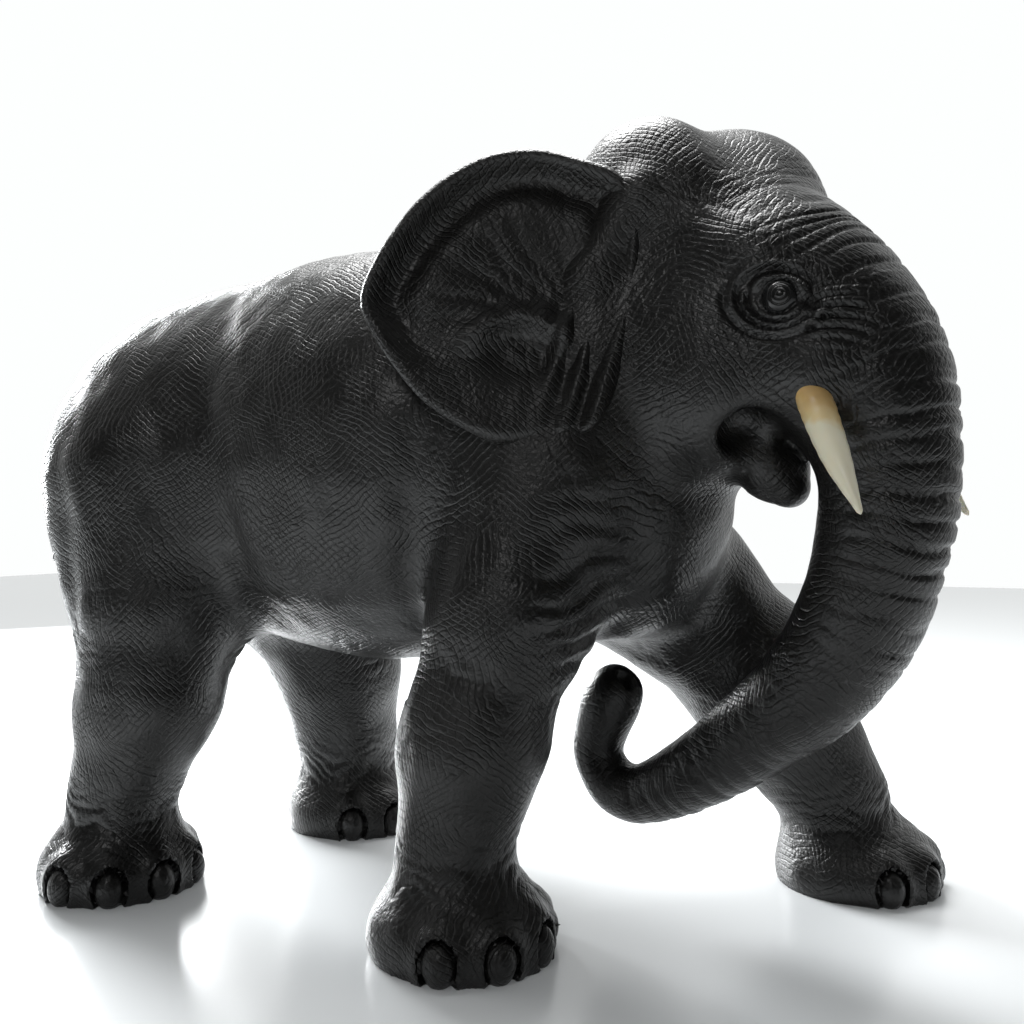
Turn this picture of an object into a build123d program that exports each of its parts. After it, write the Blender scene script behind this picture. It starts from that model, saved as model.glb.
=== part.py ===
"""Carved wooden elephant, striding, with its head turned to its right and its trunk curled under.

It is a figurine joined from hardwood blocks: torso, head, trunk, ears, legs and tail are glued on
matching faces over round dowels, the eyes are let in, and two ivory-coloured tusks are pegged
into sockets in the head.  +X is forward, +Y is the elephant's left and +Z is up.  The origin lies
on the ground under the middle of the whole figure.

The body tables below give places from the point midway between the forefeet, and the head tables
give places along the head's own axis, from the same point.  spot() and head_spot() turn either
into the part's frame.
"""
import os
from math import cos, radians, sin

from build123d import *

os.makedirs("parts", exist_ok=True)

# ---------------------------------------------------------------- driving dimensions (mm)
ORIGIN_BACK = 125.3         # from the point midway between the forefeet back to the origin
ORIGIN_LEFT = 14.6          # and to the left, because the turned head swings the left ear out
HEAD_YAW = radians(-18.0)   # the head is turned to the elephant's right
LEG_JOINT_Z = 118.0         # glue faces at the tops of the four legs
TRUNK_JOINT_Z = 232.0       # glue face of the trunk, below the tusk sockets
NECK_JOINT = (-19.0, 0.0, 297.0)  # middle of the head's glue face, along the head's own axes
NECK_JOINT_TILT = radians(29.0)   # the neck's glue face leans back at its top
NECK_HALF_WIDTH = 58.0
NECK_HALF_HEIGHT = 80.0
NECK_OVERRUN = 4.0          # the neck is made this much too long, then cut at the glue face
SOLE_RADIUS = 42.0
FOOT_RADIUS = 47.0
ANKLE_RADIUS = 31.0
TRUNK_ROOT_RADIUS = 32.0
EAR_THICKNESS = 11.0
EAR_SPLAY = radians(40.0)   # the ears stand out from the sides of the head
EAR_BOW_RADIUS = 190.0
EYE_RADIUS = 9.0
TUSK_RADIUS = 7.6

# Dowels and pegs, with their holes larger all round by a glue film
GLUE_FILM = 0.1
LEG_DOWEL = (8.0, 60.0)     # radius, length
NECK_DOWEL = (9.0, 70.0)
TRUNK_DOWEL = (7.0, 40.0)
EAR_DOWEL = (3.0, 18.0)
TAIL_DOWEL = (3.5, 36.0)
TAIL_DOWEL_COVER = 3.0       # wood left behind its rear end
TUSK_PEG = (4.5, 20.0)
NECK_DOWEL_RISE = 34.0      # two neck dowels, this far above and below the joint's middle

# ---------------------------------------------------------------- shape tables
# Torso: x, middle height, half width, half height of each upright oval section
TORSO = [
    (-390, 246, 16, 20),
    (-383, 246, 46, 50),
    (-366, 246, 68, 76),
    (-338, 246, 84, 95),
    (-290, 247, 94, 110),
    (-230, 246, 100, 117),
    (-165, 246, 101, 119),
    (-100, 248, 92, 114),
    (-50, 252, 76, 104),
    (-15, 246, 60, 88),
    (12, 234, 42, 60),
    (24, 228, 22, 32),
]
# Legs: each is turned about a straight line from inside the body to the middle of its sole
LEG_AXES = {
    "foreleg_right": ((-52, -46, 200), (-82, -87, 0)),
    "foreleg_left": ((-20, 50, 200), (84, 88, 0)),
    "hindleg_right": ((-296, -44, 205), (-302, -77, 0)),
    "hindleg_left": ((-282, 44, 205), (-243, 78, 0)),
}
FORELEG_GIRTH = (40, 36, ANKLE_RADIUS)  # radii at the top, the knee and the ankle
HINDLEG_GIRTH = (58, 42, ANKLE_RADIUS + 2)
# Skull: x, middle height, half width, half height of each upright section
SKULL = [
    (-64, 322, 40, 40),
    (-30, 306, 58, 74),
    (0, 304, 63, 82),
    (30, 308, 62, 82),
    (60, 311, 54, 64),
    (90, 306, 45, 50),
    (115, 296, 36, 35),
    (132, 286, 22, 18),
]
JAW = [
    (-20, 254, 34, 26),
    (20, 248, 33, 26),
    (55, 239, 26, 18),
    (74, 232, 18, 11),
    (84, 229, 8, 5),
]
# Face: x, z, radius at the two ends of its axis
FACE = ((72, 322, 42), (119, 222, 33))
# Trunk: x, z, radius along its middle line, from its glue face to the tip
TRUNK = [
    (115, TRUNK_JOINT_Z, TRUNK_ROOT_RADIUS),
    (113, 196, 29.5),
    (102, 160, 27.5),
    (84, 131, 25),
    (60, 109, 22),
    (22, 80, 18.5),
    (-14, 62, 14.5),
    (-36, 64, 12.5),
    (-47, 80, 12),
    (-41, 98, 13.5),
    (-33, 114, 14.5),
    (-30, 126, 8),
]
# Tail: x, y, z, radius along its middle line, from the rump to the tuft
TAIL = [
    (-378, -8, 262, 8),
    (-388, -30, 236, 8),
    (-378, -56, 198, 7),
    (-354, -74, 158, 6),
    (-338, -84, 124, 5),
    (-332, -90, 100, 7),
    (-330, -91, 82, 3),
]
# Ear outline: distance back from the ear's root, height
EAR_OUTLINE = [
    (-40, 350),
    (-22, 371),
    (22, 386),
    (49, 381),
    (76, 362),
    (97, 336),
    (106, 310),
    (98, 292),
    (74, 260),
    (38, 242),
    (10, 245),
    (-14, 262),
    (-36, 310),
]
# Tusk: x, y, z, radius along its middle line, from the socket to the tip, on the right side
TUSK = [
    (101, -41, 258, TUSK_RADIUS),
    (109, -49, 246, 7.2),
    (119, -57.5, 230, 5.4),
    (131, -65, 210, 1.2),
]
EYE_CENTRE = (86, -42, 305)
EAR_ROOT = (-5, -62)            # x, y of the root line of the right ear
EAR_BOW_CENTRE = (-35, 316)     # where the ear's hollow is deepest, from the root line
EAR_DOWEL_HEIGHTS = (300, 338)
DOME = (8, -24, 366, 40)        # x, y, z, radius of each of the two domes on the skull
TUSK_BOSS = (92, -30, 274, 20)  # the swelling that each tusk is pegged into


# ---------------------------------------------------------------- frames
def spot(x, y, z):
    """A point given from between the forefeet, in the part's frame."""
    return Vector(x + ORIGIN_BACK, y - ORIGIN_LEFT, z)


def head_direction(x, y, z):
    """A direction given along the head's axes, in the part's frame."""
    return Vector(x * cos(HEAD_YAW) - y * sin(HEAD_YAW), x * sin(HEAD_YAW) + y * cos(HEAD_YAW), z)


def head_spot(x, y, z):
    """A point given along the head's axes, in the part's frame."""
    turned = head_direction(x, y, z)
    return spot(turned.X, turned.Y, turned.Z)


HEAD_SIDE = head_direction(0, 1, 0)
HEAD_MIDDLE = Plane(origin=spot(0, 0, 0), x_dir=head_direction(1, 0, 0), z_dir=HEAD_SIDE)
NECK_NORMAL = head_direction(cos(NECK_JOINT_TILT), 0, sin(NECK_JOINT_TILT))
NECK_UP = head_direction(-sin(NECK_JOINT_TILT), 0, cos(NECK_JOINT_TILT))
NECK_PLANE = Plane(origin=head_spot(*NECK_JOINT), x_dir=NECK_UP, z_dir=NECK_NORMAL)
EAR_PLANE = Plane(
    origin=head_spot(*EAR_ROOT, 0),
    x_dir=head_direction(cos(EAR_SPLAY), sin(EAR_SPLAY), 0),
    z_dir=head_direction(sin(EAR_SPLAY), -cos(EAR_SPLAY), 0),
)


def path_planes(points, side):
    """A plane across a chain of points at each of them, with its x direction kept to one side."""
    planes = []
    for index, point in enumerate(points):
        ahead = points[min(index + 1, len(points) - 1)]
        behind = points[max(index - 1, 0)]
        along = (ahead - behind).normalized()
        across = (side - along * side.dot(along)).normalized()
        planes.append(Plane(origin=point, x_dir=across, z_dir=along))
    return planes


def leg_dowel_plane(name):
    """The level plane through the middle of a leg's glue face."""
    top, sole = (spot(*point) for point in LEG_AXES[name])
    return Plane(origin=sole + (top - sole) * (LEG_JOINT_Z / top.Z))


def neck_dowel_planes():
    """Planes across the two dowels of the neck joint, at their middles."""
    up_the_face = NECK_UP * NECK_DOWEL_RISE
    origins = (NECK_PLANE.origin - up_the_face, NECK_PLANE.origin + up_the_face)
    return [Plane(origin=origin, z_dir=NECK_NORMAL) for origin in origins]


def trunk_dowel_plane():
    """The level plane through the middle of the trunk's glue face."""
    x, z, _ = TRUNK[0]
    return Plane(origin=head_spot(x, 0, z))


def ear_dowel_planes():
    """Planes across the right ear's dowels, at their middles."""
    origins = [EAR_PLANE.from_local_coords((0, height, 0)) for height in EAR_DOWEL_HEIGHTS]
    return [Plane(origin=origin, z_dir=EAR_PLANE.x_dir) for origin in origins]


def tail_dowel_plane():
    """The plane across the tail's dowel, at its middle; its rear end stops short of the tail's skin."""
    x, y, z, radius = TAIL[0]
    _, length = TAIL_DOWEL
    return Plane(origin=spot(x - radius + TAIL_DOWEL_COVER + length / 2, y, z), z_dir=(1, 0, 0))


def tusk_plane():
    """The plane across the right tusk at the mouth of its socket, facing out."""
    base = head_spot(*TUSK[0][:3])
    return Plane(origin=base, z_dir=(head_spot(*TUSK[1][:3]) - base).normalized())


# ---------------------------------------------------------------- limbs, whole, before they are cut at their joints
def whole_leg(name):
    """One leg, turned about its axis, from inside the body to its flat sole."""
    top, sole = (spot(*point) for point in LEG_AXES[name])
    top_radius, knee_radius, ankle_radius = FORELEG_GIRTH if name.startswith("fore") else HINDLEG_GIRTH
    down = (sole - top).normalized()
    length = (sole - top).length
    profile_plane = Plane(origin=top, x_dir=down, z_dir=Vector(0, 1, 0).cross(down).normalized())
    with BuildPart() as leg:
        with BuildSketch(profile_plane):
            with BuildLine():
                Polyline((0, 0), (0, 0.6 * top_radius), (12, top_radius))
                Spline(
                    (12, top_radius),
                    (0.45 * length, knee_radius),
                    (length - 58, ankle_radius),
                    (length - 30, ankle_radius + 6),
                    (length - 10, FOOT_RADIUS),
                )
                Polyline(
                    (length - 10, FOOT_RADIUS),
                    (length + 20, SOLE_RADIUS),
                    (length + 20, 0),
                    (0, 0),
                )
            make_face()
        revolve(axis=Axis(top, down))
        split(bisect_by=Plane.XY, keep=Keep.TOP)
    return leg.part


def turned_face():
    """The front of the face, tapering down from the skull towards the trunk's glue face."""
    (top_x, top_z, top_radius), (low_x, low_z, low_radius) = FACE
    top = head_spot(top_x, 0, top_z)
    down = (head_spot(low_x, 0, low_z) - top).normalized()
    length = (head_spot(low_x, 0, low_z) - top).length
    with BuildPart() as face:
        with BuildSketch(Plane(origin=top, x_dir=down, z_dir=HEAD_SIDE)):
            with BuildLine():
                Polyline((0, 0), (0, top_radius), (length, low_radius), (length, 0), (0, 0))
            make_face()
        revolve(axis=Axis(top, down))
        split(bisect_by=Plane.XY.offset(TRUNK_JOINT_Z), keep=Keep.TOP)
    return face.part


def make_trunk(head):
    """The trunk from its glue face below the tusks to its curled tip, coped to the lower lip."""
    middle_line = [head_spot(x, 0, z) for x, z, _ in TRUNK]
    with BuildPart() as trunk:
        with BuildSketch(Plane(origin=middle_line[0], x_dir=HEAD_SIDE, z_dir=(0, 0, -1))):
            Circle(TRUNK_ROOT_RADIUS)
        for plane, (_, _, radius) in list(zip(path_planes(middle_line, HEAD_SIDE), TRUNK))[1:]:
            with BuildSketch(plane):
                Circle(radius)
        loft()
        split(bisect_by=Plane.XY.offset(TRUNK_JOINT_Z), keep=Keep.BOTTOM)
        add(head, mode=Mode.SUBTRACT)
        cut_dowel_holes([trunk_dowel_plane()], TRUNK_DOWEL)
    return trunk.part


def oval_loft(sections, place, along):
    """A solid through upright ovals set across one axis."""
    with BuildPart() as body:
        for x, height, half_width, half_height in sections:
            with BuildSketch(Plane(origin=place(x, 0, height), x_dir=(0, 0, 1), z_dir=along)):
                Ellipse(half_height, half_width)
        loft()
    return body.part


# ---------------------------------------------------------------- pieces
def cut_dowel_holes(planes, dowel):
    """Cut holes for dowels that cross the given planes at their middles."""
    radius, length = dowel
    with Locations(*planes):
        Cylinder(radius + GLUE_FILM, length, mode=Mode.SUBTRACT)


def make_dowels(planes, dowel):
    """The dowels that fill those holes."""
    with BuildPart() as dowels:
        with Locations(*planes):
            Cylinder(*dowel)
    return dowels.part


def leg_top(name):
    """The top of one leg, down to its glue face, which is carved from the body block."""
    return split(whole_leg(name), Plane.XY.offset(LEG_JOINT_Z), Keep.TOP, Mode.PRIVATE)


def make_neck():
    """The neck, from inside the shoulders to just past the head's glue face."""
    with BuildPart() as neck:
        with BuildSketch(Plane(origin=spot(-96, 6, 262), x_dir=(0, 0, 1), z_dir=(1, 0, 0))):
            Ellipse(76, 66)
        with BuildSketch(NECK_PLANE.offset(NECK_OVERRUN)):
            Ellipse(NECK_HALF_HEIGHT, NECK_HALF_WIDTH)
        loft()
    return neck.part


def make_torso():
    """The body block, with the tops of the four legs and the neck, up to their glue faces."""
    with BuildPart() as torso:
        add(oval_loft(TORSO, spot, (1, 0, 0)))
        add(make_neck())
        for name in LEG_AXES:
            add(leg_top(name))
        split(bisect_by=NECK_PLANE, keep=Keep.BOTTOM)
        cut_dowel_holes([leg_dowel_plane(name) for name in LEG_AXES], LEG_DOWEL)
        cut_dowel_holes(neck_dowel_planes(), NECK_DOWEL)
        cut_dowel_holes([tail_dowel_plane()], TAIL_DOWEL)
    return torso.part


def make_leg(name):
    """One leg from its glue face down to its flat sole."""
    with BuildPart() as leg:
        add(whole_leg(name))
        split(bisect_by=Plane.XY.offset(LEG_JOINT_Z), keep=Keep.BOTTOM)
        cut_dowel_holes([leg_dowel_plane(name)], LEG_DOWEL)
    return leg.part


def make_head():
    """The head block: skull, jaw, tusk bosses and the root of the trunk, with all its sockets."""
    forward = head_direction(1, 0, 0)
    dome_x, dome_y, dome_z, dome_radius = DOME
    boss_x, boss_y, boss_z, boss_radius = TUSK_BOSS
    with BuildPart() as head:
        add(oval_loft(SKULL, head_spot, forward))
        add(oval_loft(JAW, head_spot, forward))
        with Locations(head_spot(dome_x, dome_y, dome_z), head_spot(dome_x, -dome_y, dome_z)):
            Sphere(dome_radius)
        with Locations(head_spot(boss_x, boss_y, boss_z), head_spot(boss_x, -boss_y, boss_z)):
            Sphere(boss_radius)
        add(turned_face())
        split(bisect_by=NECK_PLANE, keep=Keep.TOP)
        cut_dowel_holes(neck_dowel_planes(), NECK_DOWEL)
        cut_dowel_holes([trunk_dowel_plane()], TRUNK_DOWEL)
        for tool in (make_ear_holes(), make_tusk_socket(), make_eye_right(EYE_RADIUS + GLUE_FILM)):
            add(tool, mode=Mode.SUBTRACT)
            mirror(tool, about=HEAD_MIDDLE, mode=Mode.SUBTRACT)
    return head.part


def make_ear_holes():
    """The solid of the right ear's dowel holes."""
    radius, length = EAR_DOWEL
    return make_dowels(ear_dowel_planes(), (radius + GLUE_FILM, length))


def make_tusk_socket():
    """The solid cut away for the right tusk: its peg's hole, and a recess round its base."""
    radius, length = TUSK_PEG
    with BuildPart(tusk_plane()) as socket:
        Cylinder(radius + GLUE_FILM, length, align=(Align.CENTER, Align.CENTER, Align.MAX))
        Cylinder(TUSK_RADIUS + 1, length, align=(Align.CENTER, Align.CENTER, Align.MIN))
    return socket.part


def make_eye_right(radius):
    """The right eye, a ball let into the side of the face."""
    with BuildPart() as eye:
        with Locations(head_spot(*EYE_CENTRE)):
            Sphere(radius)
    return eye.part


def make_tusk_right():
    """The right tusk, curved and tapering, with its peg."""
    points = [head_spot(x, y, z) for x, y, z, _ in TUSK]
    radius, length = TUSK_PEG
    with BuildPart() as tusk:
        for plane, (_, _, _, tusk_radius) in zip(path_planes(points, HEAD_SIDE), TUSK):
            with BuildSketch(plane):
                Circle(tusk_radius)
        loft()
        with Locations(tusk_plane()):
            Cylinder(radius, length, align=(Align.CENTER, Align.CENTER, Align.MAX))
    return tusk.part


def make_ear_right(head, torso):
    """The right ear, a bowed plate whose root is coped to the head and shoulder."""
    bow_x, bow_z = EAR_BOW_CENTRE
    bow_centre = EAR_PLANE.from_local_coords((bow_x, bow_z, EAR_BOW_RADIUS))
    with BuildPart() as ear:
        with BuildSketch(EAR_PLANE.offset(-30)):
            with BuildLine():
                Spline([(-back, height) for back, height in EAR_OUTLINE], periodic=True)
            make_face()
        extrude(amount=80)
        with Locations(bow_centre):
            Sphere(EAR_BOW_RADIUS + EAR_THICKNESS / 2, mode=Mode.INTERSECT)
            Sphere(EAR_BOW_RADIUS - EAR_THICKNESS / 2, mode=Mode.SUBTRACT)
        add(head, mode=Mode.SUBTRACT)
        add(torso, mode=Mode.SUBTRACT)
        add(make_ear_holes(), mode=Mode.SUBTRACT)
    return ear.part


def make_tail(torso, leg):
    """The tail, hanging against the rump and swung to the right, coped to the rump and leg."""
    points = [spot(x, y, z) for x, y, z, _ in TAIL]
    with BuildPart() as tail:
        for plane, (_, _, _, radius) in zip(path_planes(points, Vector(0, 1, 0)), TAIL):
            with BuildSketch(plane):
                Circle(radius)
        loft()
        add(torso, mode=Mode.SUBTRACT)
        add(leg, mode=Mode.SUBTRACT)
        cut_dowel_holes([tail_dowel_plane()], TAIL_DOWEL)
    return tail.part


def save(part, name):
    """Label a finished piece and write it to its own file."""
    part.label = name
    export_step(part, f"parts/{name}.step")


def save_pair(part, name):
    """Write a right-hand piece of the head and its mirror image on the left."""
    save(part, f"{name}_right")
    save(mirror(part, about=HEAD_MIDDLE), f"{name}_left")


torso = make_torso()
head = make_head()
save(torso, "torso")
save(head, "head")
save(make_trunk(head), "trunk")
save(make_tail(torso, make_leg("hindleg_right")), "tail")
for leg_name in LEG_AXES:
    save(make_leg(leg_name), leg_name)
    save(make_dowels([leg_dowel_plane(leg_name)], LEG_DOWEL), f"{leg_name}_dowel")
save_pair(make_ear_right(head, torso), "ear")
save_pair(make_dowels(ear_dowel_planes(), EAR_DOWEL), "ear_dowels")
save_pair(make_tusk_right(), "tusk")
save_pair(make_eye_right(EYE_RADIUS), "eye")
save(make_dowels(neck_dowel_planes(), NECK_DOWEL), "neck_dowels")
save(make_dowels([trunk_dowel_plane()], TRUNK_DOWEL), "trunk_dowel")
save(make_dowels([tail_dowel_plane()], TAIL_DOWEL), "tail_dowel")
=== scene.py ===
"""The carved wooden elephant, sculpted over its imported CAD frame.

Every block of the figure is carved from one shared distance field, in millimetres: each piece is
meshed from the field, drawn onto it, given its carved folds, and cut at its glue faces.  Places in
the tables are measured from the point midway between the forefeet, and those of the head along
the head's own axes, which are turned to the elephant's right.
"""

import bmesh
import bpy
import numpy as np
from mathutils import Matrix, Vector


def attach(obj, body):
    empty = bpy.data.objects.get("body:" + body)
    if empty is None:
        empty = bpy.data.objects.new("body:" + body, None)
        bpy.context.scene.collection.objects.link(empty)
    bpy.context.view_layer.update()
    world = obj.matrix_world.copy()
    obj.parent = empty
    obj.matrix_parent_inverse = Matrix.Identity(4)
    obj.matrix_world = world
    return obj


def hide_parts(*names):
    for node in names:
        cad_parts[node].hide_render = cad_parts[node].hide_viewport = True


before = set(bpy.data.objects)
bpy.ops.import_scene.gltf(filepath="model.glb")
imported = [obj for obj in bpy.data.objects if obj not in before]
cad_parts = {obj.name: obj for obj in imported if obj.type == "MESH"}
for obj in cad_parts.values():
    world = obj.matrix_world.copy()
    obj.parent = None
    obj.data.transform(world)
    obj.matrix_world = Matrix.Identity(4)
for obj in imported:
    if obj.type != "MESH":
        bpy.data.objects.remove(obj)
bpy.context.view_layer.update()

# ---------------------------------------------------------------- driving dimensions (mm)
MM = 0.001
ORIGIN = np.array([125.3, -14.6, 0.0])  # the point midway between the forefeet, in the frame
HEAD_YAW = np.radians(-18.0)
LEG_JOINT_Z = 118.0
TRUNK_JOINT_Z = 232.0
TRUNK_JOINT_X = 84.0        # behind this, nothing of the head is cut by the trunk's glue face
THROAT_Z = 212.0            # the head's glue face runs from here up the back of the neck
NECK_JOINT = (-19.0, 297.0)  # x, z of the middle of that face
NECK_JOINT_TILT = np.radians(29.0)
EAR_SPLAY = np.radians(40.0)
EAR_ROOT = (-5.0, 70.0)

EYE_CENTRE = (86.0, 42.0, 305.0)
EYE_RADIUS = 9.0
EYE_TILT = np.radians(-14.0)
RING_PITCH = 10.0           # of the ring creases of the trunk
SHARP_EDGE = np.radians(48.0)

# Mesh spacing of each kind of piece, halved once the surface is found
BODY_VOXEL = 2.6
LIMB_VOXEL = 2.2
HEAD_VOXEL = 1.8
TAIL_VOXEL = 1.6
COARSE = 4                  # the first look at a field is this many times coarser

# Photographing, in metres and degrees
CAMERA_AZIMUTH = 23.05
CAMERA_TILT = 90.49
CAMERA_PLACE = (0.2663, -0.5576, 0.206)
LENS_LENGTH = 36.914
FLOOR_HALF_WIDTH = 3.0

HEAD_X = np.array([np.cos(HEAD_YAW), np.sin(HEAD_YAW), 0.0])
HEAD_Y = np.array([-np.sin(HEAD_YAW), np.cos(HEAD_YAW), 0.0])

# ---------------------------------------------------------------- shape tables
# Each leg: points down its bones with the radius at each, then the middle of its foot and the
# direction its toes point, in degrees
LEGS = {
    "foreleg_right": (
        [(-48, -48, 228, 42), (-64, -66, 160, 38), (-77, -80, 98, 33.5), (-84, -86, 46, 28.5)], (-80, -87), 14,
    ),
    "foreleg_left": (
        [(-40, 48, 222, 44), (-10, 60, 163, 44), (36, 74, 114, 41), (74, 86, 48, 31)], (86, 88), 0,
    ),
    "hindleg_right": (
        [(-298, -42, 226, 66), (-288, -56, 158, 49), (-286, -69, 108, 37), (-300, -76, 50, 30)], (-301, -77), 0,
    ),
    "hindleg_left": (
        [(-286, 42, 226, 66), (-262, 56, 158, 49), (-249, 70, 108, 39), (-245, 77, 50, 33)], (-241, 78), 0,
    ),
}
TOE_ANGLES = (-92, -54, -16, 22, 60)    # on a right foot, mirrored on a left one
# Trunk: x, z, radius along its middle line
TRUNK = [
    (68, 318, 44), (92, 294, 41), (108, 266, 37), (117, 232, 30.5), (115, 198, 28.5), (103, 160, 27),
    (84, 131, 25), (60, 109, 22), (22, 80, 18.5), (-14, 60, 14.5), (-36, 62, 12.5), (-47, 78, 11.5),
    (-42, 96, 13.5), (-34, 113, 14.5),
]
TRUNK_ROOT_STATIONS = 5     # the head carries the trunk's first stations, and is cut through them
# Tail and tusk: x, y, z, radius
TAIL = [
    (-362, -4, 278, 11), (-374, -12, 262, 10.5), (-381, -28, 238, 8.5), (-369, -52, 198, 8),
    (-338, -70, 158, 7.5), (-316, -84, 126, 6.5), (-304, -94, 106, 7.5), (-300, -96, 92, 4),
]
TUSK = [
    (92, 36, 272, 6.6), (101, 41, 258, 7.6), (109, 49, 246, 7.2), (119, 57.5, 230, 5.6), (131, 65, 210, 1.3),
]
# Ear outline: distance back from the ear's root, height
EAR_OUTLINE = [
    (-30, 350), (-20, 371), (-2, 380), (22, 386), (49, 381), (74, 364), (93, 340), (105, 312), (99, 294),
    (88, 277), (74, 261), (54, 248), (37, 242), (18, 245), (-4, 248), (-16, 268), (-26, 310),
]
# Strokes of the all-over hatching: the direction across them, their pitch, a shift of their patches
HATCH = (((0.45, 0.45, 0.77), 2.7, 0.0), ((-0.5, -0.5, 0.7), 2.9, 5.0), ((0.75, -0.6, 0.25), 2.4, 9.0))


# ---------------------------------------------------------------- distance field
def join(a, b, radius):
    """The union of two fields, with a fillet of about the radius."""
    blend = np.clip(0.5 + 0.5 * (b - a) / radius, 0, 1)
    return b + (a - b) * blend - radius * blend * (1 - blend)


def cut(a, b, radius):
    """The common part of two fields, with its edge rounded."""
    return -join(-a, -b, radius)


def egg(p, centre, radii, pitch=0.0):
    """An ellipsoid, pitched nose-down by degrees."""
    x, y, z = (p[i] - centre[i] for i in range(3))
    if pitch:
        c, s = np.cos(np.radians(pitch)), np.sin(np.radians(pitch))
        x, z = c * x - s * z, s * x + c * z
    a, b, c = x / radii[0], y / radii[1], z / radii[2]
    near = np.sqrt(a * a + b * b + c * c)
    slope = np.sqrt((a / radii[0]) ** 2 + (b / radii[1]) ** 2 + (c / radii[2]) ** 2) + 1e-9
    return near * (near - 1) / slope


def bone(p, start, end):
    """A rod with round ends; each end is x, y, z, radius."""
    along = [end[i] - start[i] for i in range(3)]
    length_squared = sum(a * a for a in along)
    rel = [p[i] - start[i] for i in range(3)]
    t = np.clip(sum(r * a for r, a in zip(rel, along)) / length_squared, 0, 1)
    gap = np.sqrt(sum((r - t * a) ** 2 for r, a in zip(rel, along)))
    return gap - (start[3] + (end[3] - start[3]) * t)


def bones(p, points, fillet):
    """A chain of rods."""
    field = bone(p, points[0], points[1])
    for start, end in zip(points[1:-1], points[2:]):
        field = join(field, bone(p, start, end), fillet)
    return field


def smooth_path(points, steps):
    """Points along a smooth curve through the given ones, any number of values in each."""
    knots = np.array(points, float)
    knots = np.vstack([2 * knots[0] - knots[1], knots, 2 * knots[-1] - knots[-2]])
    path = []
    for a, b, c, d in zip(knots[:-3], knots[1:-2], knots[2:-1], knots[3:]):
        square, cube = 2 * a - 5 * b + 4 * c - d, 3 * b - a - 3 * c + d
        for t in np.arange(steps) / steps:
            path.append(0.5 * (2 * b + (c - a) * t + square * t**2 + cube * t**3))
    path.append(knots[-2])
    return np.array(path)


def to_head(p):
    """Coordinates along the head's own axes."""
    return [axis[0] * p[0] + axis[1] * p[1] for axis in (HEAD_X, HEAD_Y)] + [p[2]]


def mirrored(p):
    """The same points folded over onto the left side."""
    return [p[0], np.abs(p[1]), p[2]]


def within(field, p, low, high):
    """The field worked out only inside a box; outside, it is far away."""
    inside = np.ones(np.shape(p[0]), bool)
    for i in range(3):
        inside &= (p[i] > low[i]) & (p[i] < high[i])
    values = np.full(inside.shape, 999.0)
    values[inside] = field([np.broadcast_to(p[i], inside.shape)[inside] for i in range(3)])
    return values


# ---------------------------------------------------------------- body and legs
def leg_reach(name, margin, top=999):
    """The low and high corners of the box that holds a leg up to a height."""
    points, (foot_x, foot_y), _ = LEGS[name]
    spans = [(foot_x, foot_y, 50)] + [(x, y, r) for x, y, z, r in points if z < top]
    low = [min(span[i] - span[2] for span in spans) - margin for i in range(2)]
    high = [max(span[i] + span[2] for span in spans) + margin for i in range(2)]
    return low, high


def toe_spots(name):
    """The middles of a foot's nails, and the directions that they face."""
    _, (x, y), heading = LEGS[name]
    side = 1 if name.endswith("right") else -1
    for angle in TOE_ANGLES:
        turn = np.radians(side * (angle + heading))
        yield x + 42 * np.cos(turn), y + 41 * np.sin(turn), turn


def foot(p, name):
    """A foot with five toes, each with a domed nail in a groove."""
    _, (x, y), _ = LEGS[name]
    field = egg(p, (x, y, 9), (45, 43, 34))
    for toe_x, toe_y, turn in toe_spots(name):
        out_x, out_y = np.cos(turn), np.sin(turn)
        toe = egg(p, (toe_x - 5 * out_x, toe_y - 5 * out_y, 9), (12, 12, 17))
        socket = egg(p, (toe_x + 2 * out_x, toe_y + 2 * out_y, 9.5), (9.5, 9.5, 12))
        nail = egg(p, (toe_x - out_x, toe_y - out_y, 9), (8, 8, 10.5))
        field = join(cut(join(field, toe, 7), -socket, 1.5), nail, 1.0)
    return field


def leg(p, name):
    """A leg from the shoulder or hip to the foot."""
    return join(bones(p, LEGS[name][0], 16), foot(p, name), 16)


def torso(p):
    """The barrel, rump, shoulders and chest."""
    field = egg(p, (-165, 0, 245), (175, 101, 119))
    field = join(field, egg(p, (-288, 0, 246), (104, 90, 98)), 30)
    field = join(field, egg(p, (-54, 0, 250), (84, 70, 106)), 30)
    field = join(field, egg(p, (-16, 0, 210), (44, 52, 62)), 24)
    sides = mirrored(p)
    field = join(field, egg(sides, (-304, 54, 218), (58, 42, 86)), 22)
    field = join(field, egg(sides, (-54, 52, 212), (40, 31, 76)), 18)
    return field


def neck(p):
    return bone(p, (-66, 2, 290, 72), (4, -3, 298, 56))


# ---------------------------------------------------------------- head
RING_PATH = smooth_path([(26, 392), (50, 352)] + [(x, z) for x, z, _ in TRUNK], 5)
TRUNK_BONES = [(x, 0, z, r) for x, z, r in smooth_path(TRUNK, 3)]


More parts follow.
